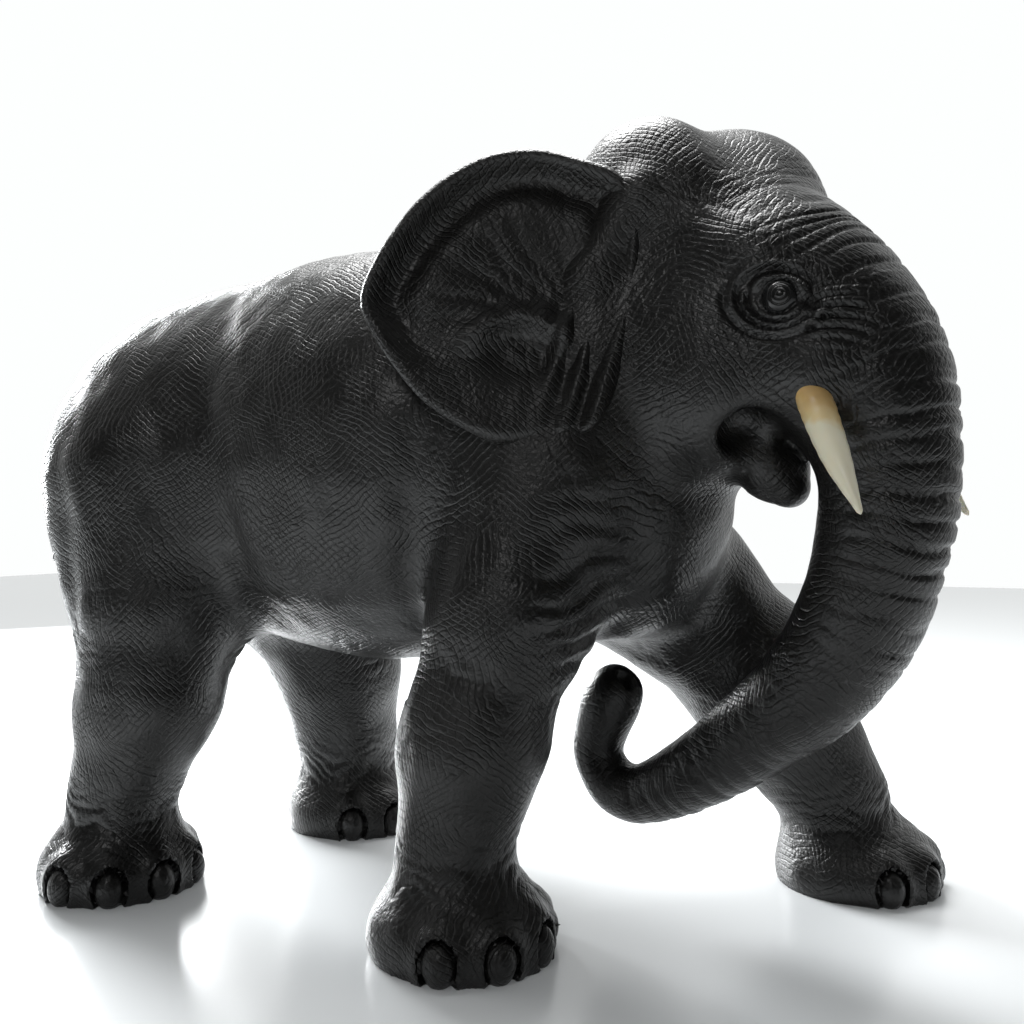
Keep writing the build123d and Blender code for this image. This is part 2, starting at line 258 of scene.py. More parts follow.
def skull(h):
    """The domes, brow, cheeks and the bosses of the tusks; h is in the head's axes."""
    side = mirrored(h)
    field = egg(h, (15, 0, 316), (74, 62, 78))
    field = join(field, egg(h, (4, -26, 360), (44, 34, 50)), 16)
    field = join(field, egg(h, (24, 22, 362), (50, 34, 49)), 26)
    field = join(field, egg(h, (58, 0, 316), (58, 45, 46), 40), 18)
    field = join(field, egg(side, (64, 37, 331), (26, 13, 13), 25), 10)
    field = join(field, egg(side, (36, 30, 272), (46, 31, 44)), 18)
    field = join(field, egg(side, (92, 32, 279), (22, 17, 30)), 14)
    field = cut(field, -egg(side, (86, 64, 304), (21, 17, 15)), 9)
    return cut(field, -egg(side, (38, 76, 335), (28, 19, 26)), 14)


def jaw(h):
    """The lower jaw, whose lip hangs down at its front, hollow on top."""
    field = bone([h[0], h[1] / 1.1, h[2]], (10, 0, 256, 28), (42, 0, 249, 20))
    field = join(field, bone([h[0], h[1] / 1.35, h[2]], (46, 0, 252, 19), (62, 0, 230, 14)), 12)
    field = join(field, bone([h[0], h[1] / 1.25, h[2]], (62, 0, 230, 14), (70, 0, 221, 8)), 8)
    return cut(field, -egg(h, (73, 0, 252), (14, 9, 15), 18), 4)


def ear_root(h):
    """The ridge that the ear's plate is set into."""
    side = mirrored(h)
    field = bone(side, (16, 53, 362, 9), (-6, 61, 324, 13))
    return join(field, bone(side, (-6, 61, 324, 13), (0, 60, 252, 13)), 8)


def head_field(p):
    h = to_head(p)
    field = join(skull(h), jaw(h), 10)
    root = bones(h, TRUNK_BONES[:3 * TRUNK_ROOT_STATIONS], 5)
    field = join(field, root, 10)
    field = cut(field, -egg(mirrored(h), (66, 35, 247), (17, 13, 13), 30), 9)
    return join(field, ear_root(h), 12)


def figure(p):
    """Everything that is carved flush: torso, legs, neck and head, on the ground."""
    field = torso(p)
    for name in LEGS:
        low, high = leg_reach(name, 40)
        field = join(field, within(lambda q: leg(q, name), p, low + [-40], high + [340]), 18)
    field = join(field, neck(p), 20)
    field = join(field, within(head_field, p, (-110, -150, 150), (250, 150, 460)), 16)
    return np.maximum(field, -p[2])


def trunk_field(p):
    """The whole trunk, with two nostrils in its tip."""
    h = to_head(p)
    field = bones(h, TRUNK_BONES, 5)
    side = mirrored(h)
    return cut(field, -egg(side, (-24, 5, 121), (7, 3.4, 6)), 2)


def tail_field(p):
    return bones(p, [tuple(point) for point in smooth_path(TAIL, 3)], 4)


# ---------------------------------------------------------------- ears
EAR_EDGE = smooth_path(EAR_OUTLINE + EAR_OUTLINE[:1], 4)[:-1]


def outline_distance(u, v, edge):
    """Signed distance to a closed outline, negative inside."""
    nearest = np.full(u.shape, 1e9)
    inside = np.zeros(u.shape, bool)
    for a, b in zip(edge, np.roll(edge, 1, axis=0)):
        along = b - a
        du, dv = u - a[0], v - a[1]
        t = np.clip((du * along[0] + dv * along[1]) / (along @ along), 0, 1)
        nearest = np.minimum(nearest, (du - t * along[0]) ** 2 + (dv - t * along[1]) ** 2)
        crosses = (v < a[1]) != (v < b[1])
        inside ^= crosses & ((along[0] * dv - along[1] * du > 0) == (along[1] < 0))
    return np.where(inside, -1, 1) * np.sqrt(nearest)


def hump(value, width):
    return np.exp(-(value / width) ** 2)


def ear_coordinates(p):
    """Distance back from the ear's root, height, and height off its plane, towards the front."""
    h = to_head(p)
    x, y = h[0] - EAR_ROOT[0], np.abs(h[1]) - EAR_ROOT[1]
    return -np.cos(EAR_SPLAY) * x + np.sin(EAR_SPLAY) * y, h[2], np.sin(EAR_SPLAY) * x + np.cos(EAR_SPLAY) * y


def ear_sheet(u, v, edge):
    """How far the middle of the ear's plate stands off its plane."""
    upper = np.clip((v - 275) / 45, 0, 1)
    off = 12 * (u / 105) ** 2 - 2 + 15 * np.clip((325 - v) / 75, 0, 1) ** 1.3
    off = off - 8 * upper * hump(edge + 15, 8) * np.clip((u + 30) / 25, 0, 1)
    arc = np.hypot((u - 30) * 0.9, (v - 285) * 1.1)
    off = off + 5.5 * hump(arc - 21, 6.5) * np.clip((v - 283) / 14, 0, 1)
    off = off - 4.0 * hump(arc - 6, 9)
    off = off + 3.0 * hump(u - 70, 22) * hump(v - 318, 16)
    pleats = np.cos((u * 0.95 + 0.30 * (v - 280)) * 0.50)
    return off + 2.4 * pleats * hump(u + 2, 19) * np.clip((318 - v) / 22, 0, 1)


def ear_field(p):
    """A cupped plate with a rolled rim, a deep hollow under it, and folds down its front edge."""
    u, v, off = ear_coordinates(p)
    edge = outline_distance(u, v, EAR_EDGE)
    upper = np.clip((v - 285) / 50, 0, 1)
    half = 3.6 + 3.4 * hump(edge + 4, 5) * (0.12 + 0.88 * upper) + 4 * np.clip((8 - u) / 20, 0, 1)
    return cut(np.abs(off - ear_sheet(u, v, edge)) - half, edge, 6)


# ---------------------------------------------------------------- meshing
def sample(field, low, high, step, band):
    """The field on a grid, worked out exactly only near the surface."""
    coarse_step = COARSE * step
    counts = np.ceil((np.array(high) - low) / coarse_step).astype(int) + 1
    axes = [low[i] + coarse_step * (np.arange(counts[i]) + 0.5 - 0.5 / COARSE) for i in range(3)]
    coarse = field(np.meshgrid(*axes, indexing="ij"))
    values = coarse
    for axis in range(3):
        values = np.repeat(values, COARSE, axis=axis)
    near = np.abs(coarse) < band * coarse_step
    for axis in range(3):
        near = np.repeat(near, COARSE, axis=axis)
    where = np.nonzero(near)
    points = [low[i] + step * where[i] for i in range(3)]
    values = values.astype(float)
    values[where] = field(points)
    return values


def surface_net(values, low, step):
    """One vertex in each grid cell that the surface crosses, and one quad for each crossed edge."""
    solid = values < 0
    cells = tuple(size - 1 for size in values.shape)
    total = np.zeros(cells + (3,))
    crossings = np.zeros(cells)
    quads = []
    index = np.full(cells, -1)
    crossed = []
    for axis in range(3):
        first = [slice(None)] * 3
        second = [slice(None)] * 3
        first[axis], second[axis] = slice(None, -1), slice(1, None)
        changes = solid[tuple(first)] != solid[tuple(second)]
        at = np.array(np.nonzero(changes))
        one = values[tuple(first)][tuple(at)]
        two = values[tuple(second)][tuple(at)]
        place = at.astype(float)
        place[axis] += one / (one - two)
        u, v = (axis + 1) % 3, (axis + 2) % 3
        for du in (0, 1):
            for dv in (0, 1):
                cell = at.copy()
                cell[u] -= du
                cell[v] -= dv
                np.add.at(total, tuple(cell), place.T)
                np.add.at(crossings, tuple(cell), 1)
        crossed.append((at, u, v, one < 0))
    used = crossings > 0
    index[used] = np.arange(used.sum())
    vertices = low + step * total[used] / crossings[used][:, None]
    for at, u, v, inward in crossed:
        corners = []
        for du, dv in ((0, 0), (1, 0), (1, 1), (0, 1)):
            cell = at.copy()
            cell[u] -= du
            cell[v] -= dv
            corners.append(index[tuple(cell)])
        quad = np.array(corners).T
        quads.append(np.where(inward[:, None], quad, quad[:, ::-1]))
    return vertices, np.concatenate(quads)


def settle(field, points, step, reach=0.4):
    """Draw points of shape (n, 3) onto the surface, and find its unit normals there."""
    gap = field(list(points.T))
    slopes = []
    for axis in range(3):
        moved = points.copy()
        moved[:, axis] += reach
        slopes.append((field(list(moved.T)) - gap) / reach)
    slopes = np.array(slopes).T
    length = np.linalg.norm(slopes, axis=1, keepdims=True) + 1e-9
    normals = slopes / length
    return points - normals * np.clip(gap / length[:, 0], -step, step)[:, None], normals


def place_object(name, data):
    placed = bpy.data.objects.new(name, data)
    bpy.context.collection.objects.link(placed)
    return placed


def face_outwards(mesh):
    tool = bmesh.new()
    tool.from_mesh(mesh)
    bmesh.ops.recalc_face_normals(tool, faces=tool.faces)
    tool.to_mesh(mesh)
    tool.free()


def make_mesh(name, vertices, faces):
    mesh = bpy.data.meshes.new(name)
    mesh.vertices.add(len(vertices))
    mesh.vertices.foreach_set("co", vertices.astype(np.float32).ravel())
    mesh.loops.add(faces.size)
    mesh.loops.foreach_set("vertex_index", faces.astype(np.int32).ravel())
    mesh.polygons.add(len(faces))
    mesh.polygons.foreach_set("loop_start", np.arange(0, faces.size, faces.shape[1], dtype=np.int32))
    mesh.update(calc_edges=True)
    mesh.validate()
    return mesh


def mesh_points(mesh):
    points = np.empty(3 * len(mesh.vertices), np.float32)
    mesh.vertices.foreach_get("co", points)
    return points.reshape(-1, 3).astype(float)


def carve(name, field, low, high, step, detail, band=2.0):
    """A closed mesh of the field inside a box, with the detail pushed into it along its normals."""
    low, high = np.array(low, float), np.array(high, float)

    def bounded(p):
        walls = [np.maximum(low[i] + 3 * step - p[i], p[i] - high[i] + 3 * step) for i in range(3)]
        return np.maximum(field(p), np.maximum(np.maximum(walls[0], walls[1]), walls[2]))

    vertices, quads = surface_net(sample(bounded, low, high, step, band), low, step)
    piece = place_object(name, make_mesh(name, vertices, quads))
    finer = piece.modifiers.new("finer", "SUBSURF")
    finer.levels = finer.render_levels = 1
    apply_modifiers(piece)
    points = mesh_points(piece.data)
    points, _ = settle(bounded, points, step)
    points, normals = settle(bounded, points, step)
    points += normals * detail(list(points.T))[:, None]
    piece.data.vertices.foreach_set("co", ((points + ORIGIN) * MM).astype(np.float32).ravel())
    piece.data.update()
    return piece


def apply_modifiers(piece):
    graph = bpy.context.evaluated_depsgraph_get()
    finished = bpy.data.meshes.new_from_object(piece.evaluated_get(graph))
    piece.modifiers.clear()
    old, piece.data = piece.data, finished
    bpy.data.meshes.remove(old)


def prism(name, outline, half_width):
    """A cutter: an outline in the head's upright middle plane, as wide as is asked."""
    outline = np.array(outline, float)
    rings = []
    for side in (-half_width, half_width):
        ring = outline[:, :1] * HEAD_X + side * HEAD_Y
        ring[:, 2] = outline[:, 1]
        rings.append(ring)
    points = (np.vstack(rings) + ORIGIN) * MM
    count = len(outline)
    mesh = bpy.data.meshes.new(name)
    faces = [tuple(range(count)), tuple(range(2 * count - 1, count - 1, -1))]
    faces += [(i, i + count, (i + 1) % count + count, (i + 1) % count) for i in range(count)]
    mesh.from_pydata([tuple(point) for point in points], [], faces)
    face_outwards(mesh)
    return place_object(name, mesh)


def trim(piece, cutter, operation):
    boolean = piece.modifiers.new("trim", "BOOLEAN")
    boolean.object = cutter
    boolean.operation = operation
    boolean.solver = "MANIFOLD"
    apply_modifiers(piece)
    bpy.data.objects.remove(cutter)


def block(name, low, high):
    """A cutter: a box between two corners."""
    corners = [[low[i] if bit[i] == 0 else high[i] for i in range(3)] for bit in np.ndindex(2, 2, 2)]
    mesh = bpy.data.meshes.new(name)
    faces = [(0, 1, 3, 2), (4, 6, 7, 5), (0, 4, 5, 1), (2, 3, 7, 6), (0, 2, 6, 4), (1, 5, 7, 3)]
    mesh.from_pydata([tuple((np.array(corner) + ORIGIN) * MM) for corner in corners], [], faces)
    return place_object(name, mesh)


def head_prism():
    """The cutter that leaves the head: everything in front of its glue faces."""
    lean = np.tan(NECK_JOINT_TILT)
    foot_x = NECK_JOINT[0] + (NECK_JOINT[1] - THROAT_Z) * lean
    top_x = NECK_JOINT[0] + (NECK_JOINT[1] - 500) * lean
    outline = [
        (foot_x, THROAT_Z), (TRUNK_JOINT_X, THROAT_Z), (TRUNK_JOINT_X, TRUNK_JOINT_Z),
        (400, TRUNK_JOINT_Z), (400, 500), (top_x, 500),
    ]
    return prism("head_prism", outline, 300)


# ---------------------------------------------------------------- carved detail
def waves(p, size, seed):
    """Smooth wandering values, mostly between -1 and 1."""
    source = np.random.default_rng(seed)
    total = 0
    for _ in range(6):
        rate = source.normal(size=3)
        rate *= 2 * np.pi * source.uniform(0.7, 1.4) / (size * np.linalg.norm(rate))
        total = total + np.sin(rate[0] * p[0] + rate[1] * p[1] + rate[2] * p[2] + source.uniform(0, 2 * np.pi))
    return total / 2.6


def spot_weight(p, centre, radii):
    """One at a place, fading to nothing round it."""
    return np.exp(-sum(((p[i] - centre[i]) / radii[i]) ** 2 for i in range(3)))


def gouges(phase, sharpness=2.0):
    """Narrow grooves, one for each whole turn of the phase, between flat-topped ridges."""
    return -(0.5 + 0.5 * np.cos(phase)) ** sharpness


def hand_cut(p):
    """The slight unevenness of a surface cut with a gouge."""
    return 0.45 * waves(p, 46, 1) + 0.25 * waves(p, 21, 2)


def limb_detail(p):
    """Creases round the ankles and soft folds across the knees."""
    sway = 1.6 * waves(p, 46, 11) + 0.5 * waves(p, 17, 12)
    ankle = hump(p[2] - 46, 16)
    knee = hump(p[2] - 128, 30) * np.clip(waves(p, 60, 13), 0, 1)
    creases = 0.7 * ankle * gouges(p[2] / 8.5 * 2 * np.pi + 3 * sway)
    relief = creases + 0.7 * knee * gouges(p[2] / 13 * 2 * np.pi + 3 * sway) + hand_cut(p)
    return relief * np.clip(p[2] / 6, 0, 1)


def body_detail(p):
    """Muscle hollows, folds down the chest, and the folds across the knees."""
    sway = waves(p, 60, 21)
    chest = spot_weight(p, (-22, -66, 166), (24, 30, 42))
    folds = 2.8 * chest * gouges((p[2] - 0.35 * p[0]) / 13 * 2 * np.pi + 1.6 * sway, 1.3)
    side = np.clip(np.abs(p[1]) / 40 - 0.6, 0, 1)
    hip = -5.0 * side * hump(p[0] + 226 + 0.18 * (p[2] - 240), 15) * hump(p[2] - 235, 66)
    shoulder = -5.0 * side * hump(p[0] + 104 - 0.12 * (p[2] - 220), 12) * hump(p[2] - 205, 72)
    shank = -3.0 * side * hump(p[0] + 318 + 0.1 * (p[2] - 200), 10) * hump(p[2] - 190, 56)
    rump = 1.4 * gouges(p[2] / 11 * 2 * np.pi + 1.5 * sway)
    rump = rump * np.clip((-350 - p[0]) / 14, 0, 1) * hump(p[2] - 190, 46)
    return folds + hip + shoulder + shank + rump + limb_detail(p)


def eye_detail(h):
    """Lids, creases under the eye, and the wrinkles that run forward from its corner."""
    side = np.clip(np.abs(h[1]) / 8 - 3, 0, 1)
    across, up = h[0] - EYE_CENTRE[0], h[2] - EYE_CENTRE[2]
    a = across * np.cos(EYE_TILT) + up * np.sin(EYE_TILT)
    b = up * np.cos(EYE_TILT) - across * np.sin(EYE_TILT)
    oval = np.hypot(a / 1.12, b * 1.16)
    below = np.clip((4 - b) / 8, 0, 1)
    above = np.clip(b / 6, 0, 1)
    relief = 2.6 * hump(oval - 10.5, 1.9) * above - 2.0 * hump(oval - 14.5, 1.8) * above
    relief = relief + 1.2 * hump(oval - 10.3, 1.3) * below - 1.2 * hump(oval - 12.4, 1.0) * below
    relief = relief + 1.0 * hump(oval - 14.2, 1.1) * below - 1.1 * hump(oval - 16.2, 1.0) * below
    back = np.clip((8 - a) / 10, 0, 1)
    relief = relief + 1.3 * hump(oval - 18.6, 1.5) * np.maximum(below, back)
    relief = relief - 1.2 * hump(oval - 21.4, 1.3) * below
    forward = np.clip((a - 12) / 6, 0, 1) * hump(a - 24, 16)
    flames = gouges((b + 2.2 * np.sin(a / 7.0)) / 5.2 * 2 * np.pi, 1.4) * hump(b + 3, 13)
    corner = -4.0 * hump(a - 15, 5) * hump(b - 1, 3.4)
    return side * (relief + 2.4 * forward * flames + corner)


def ring_phase(h, path, pitch):
    """Distance along a path in the head's middle plane, distance out of its bend, and turns along it."""
    steps = np.diff(path[:, :2], axis=0)
    lengths = np.hypot(steps[:, 0], steps[:, 1])
    starts = np.concatenate([[0], np.cumsum(lengths)])
    best = np.full(np.shape(h[0]), 1e9)
    travel = np.zeros_like(best)
    outward = np.zeros_like(best)
    for (x, z), (dx, dz), length, start in zip(path[:, :2], steps, lengths, starts):
        rel_x, rel_z = h[0] - x, h[2] - z
        t = np.clip((rel_x * dx + rel_z * dz) / length**2, 0, 1)
        gap = (rel_x - t * dx) ** 2 + (rel_z - t * dz) ** 2
        nearer = gap < best
        best = np.where(nearer, gap, best)
        travel = np.where(nearer, start + t * length, travel)
        outward = np.where(nearer, (rel_z * dx - rel_x * dz) / length, outward)
    return travel, outward, travel / pitch * 2 * np.pi


def trunk_rings(h):
    """Ring creases across the front and sides of the trunk, close-set, uneven and fading inside."""
    travel, outward, phase = ring_phase(h, RING_PATH, RING_PITCH)
    jitter = 0.7 * waves([travel, 0 * travel, 0 * travel], 40, 41) + 0.35 * waves(h, 40, 42)
    front = np.clip((outward + 14) / 16, 0, 1)
    strength = np.clip((travel - 22) / 55, 0, 1) * front
    strength = strength * (1 - 0.45 * np.clip((travel - 210) / 50, 0, 1))
    strength = strength * (1 - 0.9 * np.clip((travel - 400) / 30, 0, 1))
    return 1.6 * strength * gouges(phase + 2.2 * jitter, 3.2) * (0.75 + 0.35 * waves(h, 26, 43))


def head_detail(p):
    h = to_head(p)
    face = np.clip((h[0] - 40) / 25, 0, 1) * np.clip((h[2] - 225) / 10, 0, 1)
    brow = gouges((h[2] + 0.5 * h[0]) / 10 * 2 * np.pi + 1.5 * waves(h, 30, 45))
    brow = brow * spot_weight(mirrored(h), (40, 46, 350), (34, 20, 24))
    rings_on_face = face * trunk_rings(h) * np.clip(1.4 - np.abs(h[1]) / 40, 0, 1)
    return 0.6 * hand_cut(p) + rings_on_face + 0.5 * brow + eye_detail(h)


def trunk_detail(p):
    return 0.6 * hand_cut(p) + trunk_rings(to_head(p)) * np.clip((p[2] - 20) / 10, 0, 1)


def ear_detail(p):
    """Fine radiating folds over the hollow of the ear."""
    u, v, _ = ear_coordinates(p)
    fan = np.arctan2(v - 285, u + 14)
    folds = gouges(fan * 34 + 1.2 * waves(p, 30, 51), 1.5) * hump(np.hypot(u - 52, (v - 320) * 1.2), 38)
    return 0.8 * folds + 0.4 * hand_cut(p)


def tail_detail(p):
    return 1.0 * gouges(p[2] / 9 * 2 * np.pi + waves(p, 30, 31)) * np.clip((p[2] - 100) / 20, 0, 1)


# ---------------------------------------------------------------- pieces
def make_torso():
    piece = carve("torso", figure, (-420, -150, 96), (70, 180, 420), BODY_VOXEL, body_detail)
    trim(piece, block("above_legs", (-600, -400, LEG_JOINT_Z), (400, 400, 600)), "INTERSECT")
    trim(piece, head_prism(), "DIFFERENCE")
    return piece


def make_leg(name):
    def field(p):
        return np.maximum(np.maximum(join(torso(p), leg(p, name), 18), -p[2]), p[2] - LEG_JOINT_Z - 8)

    low, high = leg_reach(name, 12, 180)
    piece = carve(name, field, low + [-8], high + [LEG_JOINT_Z + 14], LIMB_VOXEL, limb_detail)
    trim(piece, block("below_body", (-600, -400, -1), (400, 400, LEG_JOINT_Z)), "INTERSECT")
    return piece


def make_head():
    piece = carve("head", figure, (-90, -150, 180), (210, 130, 425), HEAD_VOXEL, head_detail)
    trim(piece, head_prism(), "INTERSECT")
    return piece


def make_trunk():
    piece = carve("trunk", trunk_field, (-70, -100, 30), (190, 60, 260), LIMB_VOXEL, trunk_detail)
    trim(piece, block("below_face", (-600, -400, 0), (400, 400, TRUNK_JOINT_Z)), "INTERSECT")
    return piece


def make_tail():
    return carve("tail", tail_field, (-410, -110, 70), (-310, 20, 290), TAIL_VOXEL, tail_detail)


def make_ear(name, side):
    def field(p):
        h = to_head(p)
        return np.maximum(ear_field(p), -side * h[1])

    if side < 0:
        low, high = (-150, -190, 220), (60, 20, 400)
    else:
        low, high = (-120, -20, 220), (110, 190, 400)
    return carve(name, field, low, high, HEAD_VOXEL, ear_detail)


def rings(name, path, radii, around=40):
    """A closed, ring-built surface along a path given in head coordinates."""
    path = np.array(path, float)
    forward = np.gradient(path, axis=0)
    forward /= np.linalg.norm(forward, axis=1, keepdims=True)
    across = np.cross(forward, (0.3, 1.0, 0.1))
    across /= np.linalg.norm(across, axis=1, keepdims=True)
    third = np.cross(forward, across)
    turns = np.arange(around) / around * 2 * np.pi
    vertices = [path[0]]
    for middle, a, b, radius in zip(path, across, third, radii):
        vertices += [middle + radius * (np.cos(t) * a + np.sin(t) * b) for t in turns]
    vertices.append(path[-1])
    faces = [(0, 1 + (i + 1) % around, 1 + i) for i in range(around)]
    for ring in range(len(path) - 1):
        start = 1 + ring * around
        for i in range(around):
            j = (i + 1) % around
            faces.append((start + i, start + j, start + around + j, start + around + i))
    start = 1 + (len(path) - 1) * around
    faces += [(start + around, start + i, start + (i + 1) % around) for i in range(around)]
    vertices = np.array(vertices)
    vertices = vertices @ np.array([HEAD_X, HEAD_Y, (0.0, 0.0, 1.0)])
    mesh = bpy.data.meshes.new(name)
    mesh.from_pydata([tuple((vertex + ORIGIN) * MM) for vertex in vertices], [], faces)
    mesh.validate()
    face_outwards(mesh)
    return place_object(name, mesh)


def make_tusk(name, side):
    """A curved, tapering tusk with a slightly blunted tip."""
    stations = smooth_path([(x, side * y, z, r) for x, y, z, r in TUSK], 10)
    t = np.linspace(0, 1, len(stations))
    radii = stations[:, 3] * (1 - 0.015 * np.cos(t * 60))
    tip = stations[-1, :3] - stations[-2, :3]
    caps = np.array([stations[-1, :3] + tip * k for k in (0.35, 0.6)])
    return rings(name, np.vstack([stations[:, :3], caps]), list(radii) + [0.8, 0.3])


def make_eye(name, side):
    """A ball with a ringed iris and a pupil cut into its front."""
    x, y, z = EYE_CENTRE
    out = np.array([0.34, side * 0.94, 0.05])
    out /= np.linalg.norm(out)
    angles = np.linspace(0.04, np.pi - 0.05, 64)
    radii, path = [], []
    for angle in angles[::-1]:
        radius = EYE_RADIUS
        radius -= 0.45 * hump(np.degrees(angle) - 30, 2.6) + 0.4 * hump(np.degrees(angle) - 13, 2.4)
        path.append(np.array([x, side * y, z]) + out * radius * np.cos(angle))
        radii.append(radius * np.sin(angle))
    return rings(name, path, radii, 48)


# ---------------------------------------------------------------- materials
def maths(nodes, links, operation, a, b=None):
    made = nodes.new("ShaderNodeMath")
    made.operation = operation
    for socket, value in zip(made.inputs, (a, b)):
        if isinstance(value, (int, float)):
            socket.default_value = value
        elif value is not None:
            links.new(value, socket)
    return made.outputs[0]


def new_material(name):
    material = bpy.data.materials.new(name)
    material.use_nodes = True
    nodes, links = material.node_tree.nodes, material.node_tree.links
    return material, nodes, links, nodes["Principled BSDF"]


def noise(nodes, links, place, scale, detail=2.0):
    made = nodes.new("ShaderNodeTexNoise")
    made.inputs["Scale"].default_value = scale
    made.inputs["Detail"].default_value = detail
    links.new(place, made.inputs["Vector"])
    return made


def remap(nodes, links, value, low, high, to_low, to_high):
    made = nodes.new("ShaderNodeMapRange")
    for socket, number in zip(made.inputs[1:5], (low, high, to_low, to_high)):
        socket.default_value = number
    links.new(value, made.inputs[0])
    return made.outputs[0]


def tint(nodes, links, value, low_colour, high_colour):
    ramp = nodes.new("ShaderNodeValToRGB")
    ramp.color_ramp.elements[0].color = (*low_colour, 1)
    ramp.color_ramp.elements[1].color = (*high_colour, 1)
    links.new(value, ramp.inputs[0])
    return ramp.outputs[0]


def black_wood():
    """Near-black waxed wood, cross-hatched all over with fine gouge strokes."""
    material, nodes, links, shader = new_material("black_wood")
    place = nodes.new("ShaderNodeTexCoord").outputs["Object"]
    wander = noise(nodes, links, place, 14.0, 2.0)
    shift = nodes.new("ShaderNodeVectorMath")
    shift.operation = "MULTIPLY_ADD"
    links.new(wander.outputs["Color"], shift.inputs[0])
    shift.inputs[1].default_value = (0.020, 0.020, 0.020)
    fine = noise(nodes, links, place, 110.0, 2.0)
    ripple = nodes.new("ShaderNodeVectorMath")
    ripple.operation = "MULTIPLY_ADD"
    links.new(fine.outputs["Color"], ripple.inputs[0])
    ripple.inputs[1].default_value = (0.0035, 0.0035, 0.0035)
    links.new(place, ripple.inputs[2])
    links.new(ripple.outputs[0], shift.inputs[2])
    height = None
    for direction, pitch, seed in HATCH:
        along = nodes.new("ShaderNodeVectorMath")
        along.operation = "DOT_PRODUCT"
        links.new(shift.outputs[0], along.inputs[0])
        along.inputs[1].default_value = direction
        phase = maths(nodes, links, "MULTIPLY", along.outputs["Value"], 2 * np.pi / (pitch * MM))
        swell = remap(nodes, links, maths(nodes, links, "SINE", phase), -1, 1, 0, 1)
        stroke = maths(nodes, links, "POWER", swell, 7.0)
        moved = nodes.new("ShaderNodeVectorMath")
        moved.inputs[1].default_value = (seed, 0, 0)
        links.new(place, moved.inputs[0])
        patch = noise(nodes, links, moved.outputs[0], 34.0, 5.0)
        shown = remap(nodes, links, patch.outputs["Fac"], 0.44, 0.60, 0, 1)
        stroke = maths(nodes, links, "MULTIPLY", stroke, shown)
        height = stroke if height is None else maths(nodes, links, "ADD", height, stroke)
    grit = noise(nodes, links, place, 420.0, 3.0)
    surface = maths(nodes, links, "MULTIPLY_ADD", height, -0.46)
    links.new(maths(nodes, links, "MULTIPLY", grit.outputs["Fac"], 1.1), surface.node.inputs[2])
    bump = nodes.new("ShaderNodeBump")
    bump.inputs["Strength"].default_value = 0.9
    bump.inputs["Distance"].default_value = 0.0006
    links.new(surface, bump.inputs["Height"])
    links.new(bump.outputs[0], shader.inputs["Normal"])
    blotch = noise(nodes, links, place, 9.0, 4.0)
    colour = tint(nodes, links, blotch.outputs["Fac"], (0.0035, 0.0035, 0.0035), (0.009, 0.0082, 0.0072))
    links.new(colour, shader.inputs["Base Color"])
    rough = maths(nodes, links, "MULTIPLY_ADD", height, 0.12)
    links.new(remap(nodes, links, blotch.outputs["Fac"], 0.3, 0.7, 0.28, 0.42), rough.node.inputs[2])
    links.new(rough, shader.inputs["Roughness"])
    return material


def ivory():
    """Cream ivory, stained amber by glue at its base."""
    material, nodes, links, shader = new_material("ivory")
    place = nodes.new("ShaderNodeTexCoord").outputs["Object"]
    grain = noise(nodes, links, place, 60.0, 3.0)
    height = nodes.new("ShaderNodeSeparateXYZ")
    links.new(place, height.inputs[0])
    stain = maths(nodes, links, "MULTIPLY_ADD", grain.outputs["Fac"], 0.035)
    links.new(height.outputs["Z"], stain.node.inputs[2])
    ramp = nodes.new("ShaderNodeValToRGB")
    stops = (
        (0.0, (0.80, 0.76, 0.60)),
        (0.66, (0.80, 0.75, 0.57)),
        (0.74, (0.76, 0.60, 0.32)),
        (1.0, (0.66, 0.43, 0.17)),
    )
    while len(ramp.color_ramp.elements) < len(stops):
        ramp.color_ramp.elements.new(0.5)
    for element, (position, colour) in zip(ramp.color_ramp.elements, stops):
        element.position = position
        element.color = (*colour, 1)
    links.new(remap(nodes, links, stain, 0.222, 0.282, 0, 1), ramp.inputs[0])
    links.new(ramp.outputs[0], shader.inputs["Base Color"])
    shader.inputs["Roughness"].default_value = 0.32
    shader.inputs["Subsurface Weight"].default_value = 0.15
    shader.inputs["Subsurface Radius"].default_value = (0.003, 0.002, 0.001)
    return material


def plain(name, colour, roughness):
    material, _, _, shader = new_material(name)
    shader.inputs["Base Color"].default_value = (*colour, 1)
    shader.inputs["Roughness"].default_value = roughness
    return material


def dowel_wood():
    """Pale turned wood with a straight grain."""
    material, nodes, links, shader = new_material("dowel_wood")
    place = nodes.new("ShaderNodeTexCoord").outputs["Object"]
    grain = noise(nodes, links, place, 300.0, 4.0)
    colour = tint(nodes, links, grain.outputs["Fac"], (0.36, 0.22, 0.11), (0.58, 0.40, 0.23))
    links.new(colour, shader.inputs["Base Color"])
    shader.inputs["Roughness"].default_value = 0.6
    return material


# ---------------------------------------------------------------- assembly
def finish_piece(piece, node, material):
    """Shade a piece, give it its material, hang it on the root body, and hide the CAD node that it takes the
    place of.
    """
    piece.data.shade_smooth()
    piece.data.set_sharp_from_angle(angle=SHARP_EDGE)
    piece.data.materials.clear()
    piece.data.materials.append(material)
    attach(piece, "root")
    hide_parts(node)


wood, ivory_finish, pale_wood = black_wood(), ivory(), dowel_wood()
eye_finish = plain("eye_black", (0.008, 0.008, 0.008), 0.16)

for label, piece in [
    ("torso", make_torso()), ("head", make_head()), ("trunk", make_trunk()), ("tail", make_tail()),
    ("ear_right", make_ear("ear_right_carved", -1)), ("ear_left", make_ear("ear_left_carved", 1)),
] + [(name, make_leg(name)) for name in LEGS]:
    piece.name = label + "_carved"
    finish_piece(piece, label, wood)

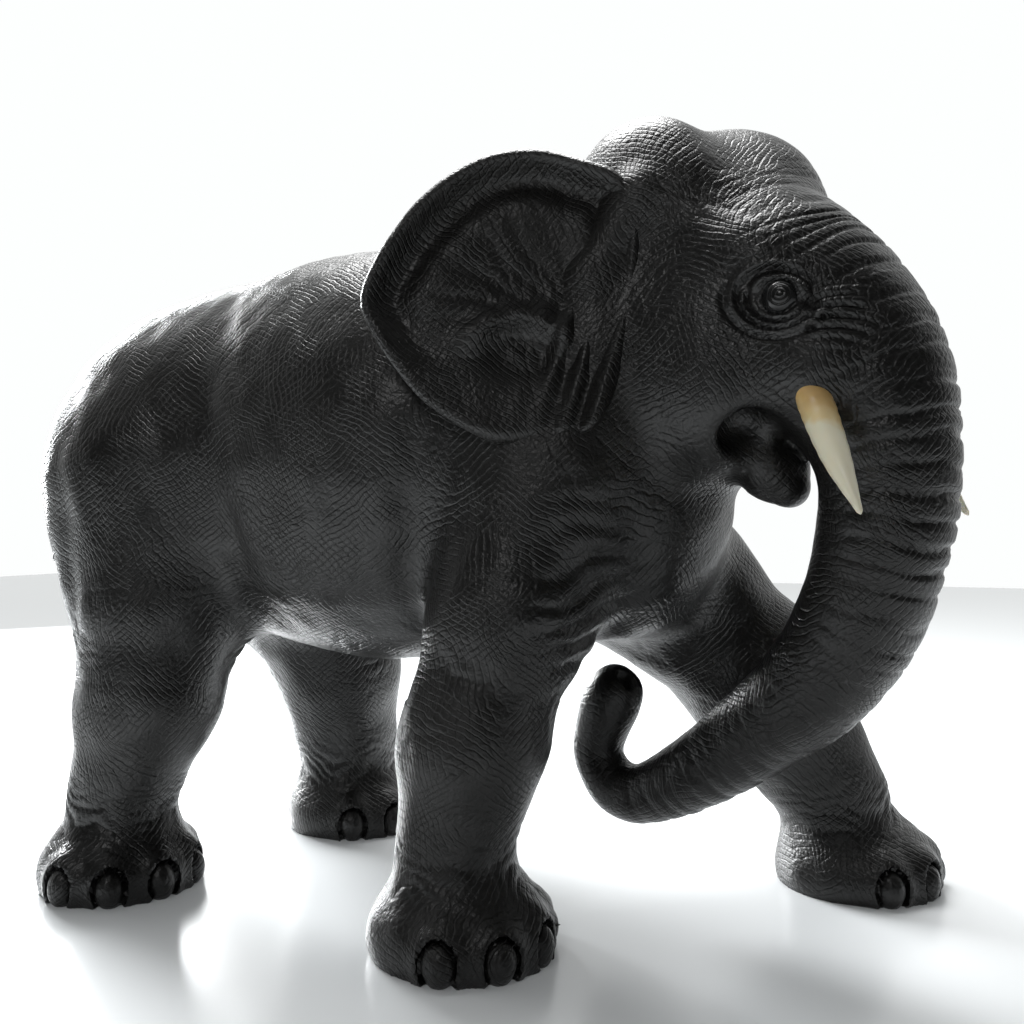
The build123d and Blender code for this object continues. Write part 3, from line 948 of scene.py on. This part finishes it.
for word, side in (("right", -1), ("left", 1)):
    finish_piece(make_tusk("tusk_" + word + "_carved", side), "tusk_" + word, ivory_finish)
    finish_piece(make_eye("eye_" + word + "_carved", side), "eye_" + word, eye_finish)

for name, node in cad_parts.items():
    if "dowel" in name:
        node.data.materials.clear()
        node.data.materials.append(pale_wood)


# ---------------------------------------------------------------- stage, light and camera
def area_light(name, place, target, size, power, colour=(1, 1, 1)):
    lamp = bpy.data.lights.new(name, "AREA")
    lamp.shape = "SQUARE"
    lamp.size = size
    lamp.energy = power
    lamp.color = colour
    lit = bpy.data.objects.new(name, lamp)
    lit.location = place
    lit.rotation_euler = (Vector(target) - Vector(place)).to_track_quat("-Z", "Y").to_euler()
    bpy.context.collection.objects.link(lit)


floor_mesh = bpy.data.meshes.new("floor")
corners = [(x * FLOOR_HALF_WIDTH, y * FLOOR_HALF_WIDTH, 0) for x, y in ((-1, -1), (1, -1), (1, 1), (-1, 1))]
floor_mesh.from_pydata(corners, [], [(0, 1, 2, 3)])
floor = bpy.data.objects.new("floor", floor_mesh)
floor_finish = plain("floor_white", (0.78, 0.80, 0.81), 0.22)
floor_shader = floor_finish.node_tree.nodes["Principled BSDF"]
floor_shader.inputs["Emission Color"].default_value = (0.95, 0.98, 1.0, 1)
floor_shader.inputs["Emission Strength"].default_value = 0.08
floor.data.materials.append(floor_finish)
bpy.context.collection.objects.link(floor)

camera_data = bpy.data.cameras.new("camera")
camera_data.lens = LENS_LENGTH
camera_data.sensor_width = 36.0
camera_data.clip_start = 0.01
camera = bpy.data.objects.new("camera", camera_data)
camera.location = CAMERA_PLACE
camera.rotation_euler = (np.radians(CAMERA_TILT), 0, np.radians(CAMERA_AZIMUTH))
bpy.context.collection.objects.link(camera)
bpy.context.scene.camera = camera

area_light("window", (-1.35, 0.75, 0.62), (-0.1, 0.0, 0.30), 0.8, 80, (0.97, 0.99, 1.0))
area_light("overhead", (-0.15, 0.25, 1.1), (0.0, 0.0, 0.3), 0.55, 14)
area_light("fill", (0.1, -1.2, 1.0), (0.0, 0.0, 0.28), 0.3, 2.2)

world = bpy.data.worlds.new("studio")
bpy.context.scene.world = world
world.use_nodes = True
nodes, links = world.node_tree.nodes, world.node_tree.links
facing = nodes.new("ShaderNodeVectorMath")
facing.operation = "DOT_PRODUCT"
links.new(nodes.new("ShaderNodeTexCoord").outputs["Generated"], facing.inputs[0])
away = np.radians(CAMERA_AZIMUTH)
facing.inputs[1].default_value = (-np.sin(away), np.cos(away), 0.25)
brightness = remap(nodes, links, facing.outputs["Value"], -0.1, 0.7, 0.05, 1.0)
links.new(brightness, nodes["Background"].inputs["Strength"])
nodes["Background"].inputs["Color"].default_value = (0.985, 1.0, 0.995, 1)

bpy.context.scene.view_settings.view_transform = "Standard"
